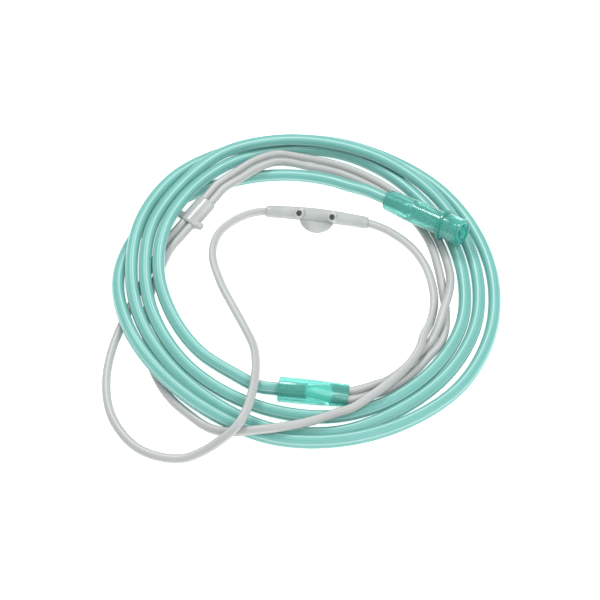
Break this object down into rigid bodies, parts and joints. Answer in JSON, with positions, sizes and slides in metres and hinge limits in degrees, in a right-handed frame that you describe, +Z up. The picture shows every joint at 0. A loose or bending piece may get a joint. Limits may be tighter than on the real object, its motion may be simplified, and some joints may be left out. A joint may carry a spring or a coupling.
{
  "type": "nasal oxygen cannula",
  "caption": "Nasal oxygen cannula: soft nose piece with prongs on thin clear tubes that run through a slide to a junction, and a green supply tube in a loose coil with a funnel connector.",
  "frame": {"origin": "on the floor, at the bottom centre of the box round the fittings: nose piece, slide, junction and supply connector", "axes": "+Z up from the floor, +X the way the supply connector's mouth points, seen from above"},
  "size_m": [0.1742, 0.1958, 0.0211],
  "materials": {
    "green_tube": "milky translucent soft vinyl, tinted green",
    "green_fitting": "translucent soft vinyl, deep green",
    "clear_soft": "milky clear soft vinyl"
  },
  "bodies": {
    "cannula": {"supply_tube": "green_tube", "lariat_tube_left": "clear_soft", "lariat_tube_right": "clear_soft", "nasal_piece": "clear_soft", "junction": "green_fitting", "supply_connector": "green_fitting"},
    "slide": {"slide": "clear_soft"}
  },
  "joints": [
    {"name": "slide_travel", "type": "slide", "parent": "cannula", "child": "slide", "axis": [0.0069, -0.9843, -0.1762], "range_m": [-0.004, 0.008]}
  ]
}
